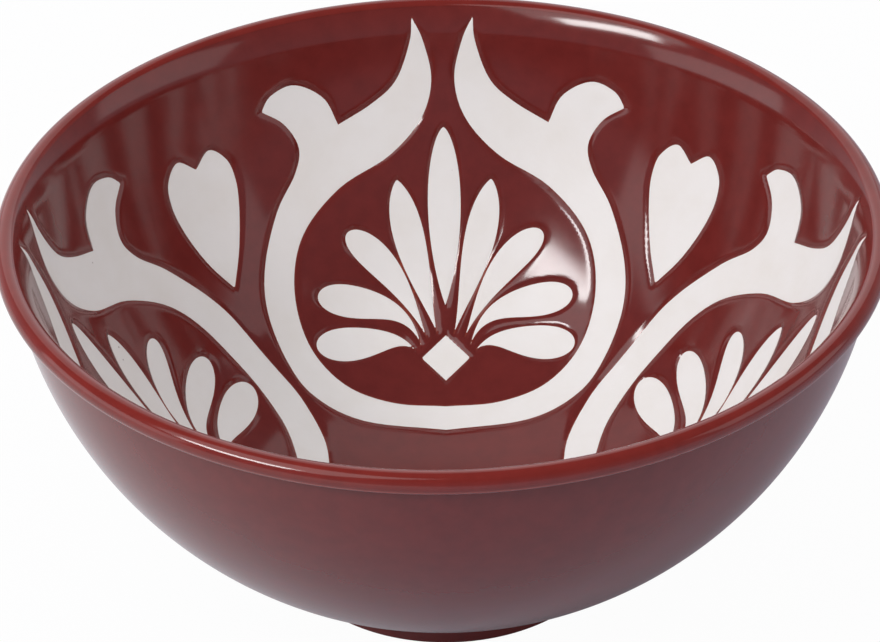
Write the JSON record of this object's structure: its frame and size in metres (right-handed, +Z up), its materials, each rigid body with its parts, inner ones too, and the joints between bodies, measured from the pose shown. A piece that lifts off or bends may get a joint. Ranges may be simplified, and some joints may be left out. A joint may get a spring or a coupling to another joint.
{
  "type": "bowl",
  "caption": "Footed round ceramic bowl with a rolled lip, glossy red-brown glaze and white slip palmettes, scrolls and hearts on its inside wall; holds food or soup.",
  "frame": {"origin": "centre of the circle on which the foot ring rests", "axes": "+Z up along the axis of the bowl; +Y towards the first frame of the pattern, which faces the viewer from the far wall; +X to the right"},
  "size_m": [0.16, 0.16, 0.075],
  "materials": {
    "clay": "bare fired clay, matt",
    "glaze": "thick glossy red-brown glaze",
    "lip": "glossy glaze, thinner and redder over the lip",
    "slip": "warm white slip, satin"
  },
  "bodies": {
    "root": {"clay_body": "clay", "outside_glaze": "glaze", "lip_glaze": "lip", "foot_well_glaze": "glaze", "inside_glaze": "glaze", "scroll_frame_1": "slip", "scroll_frame_2": "slip", "scroll_frame_3": "slip", "scroll_frame_4": "slip", "palmette_1": "slip", "palmette_2": "slip", "palmette_3": "slip", "palmette_4": "slip", "lozenge_1": "slip", "lozenge_2": "slip", "lozenge_3": "slip", "lozenge_4": "slip", "heart_1": "slip", "heart_2": "slip", "heart_3": "slip", "heart_4": "slip"}
  },
  "joints": []
}
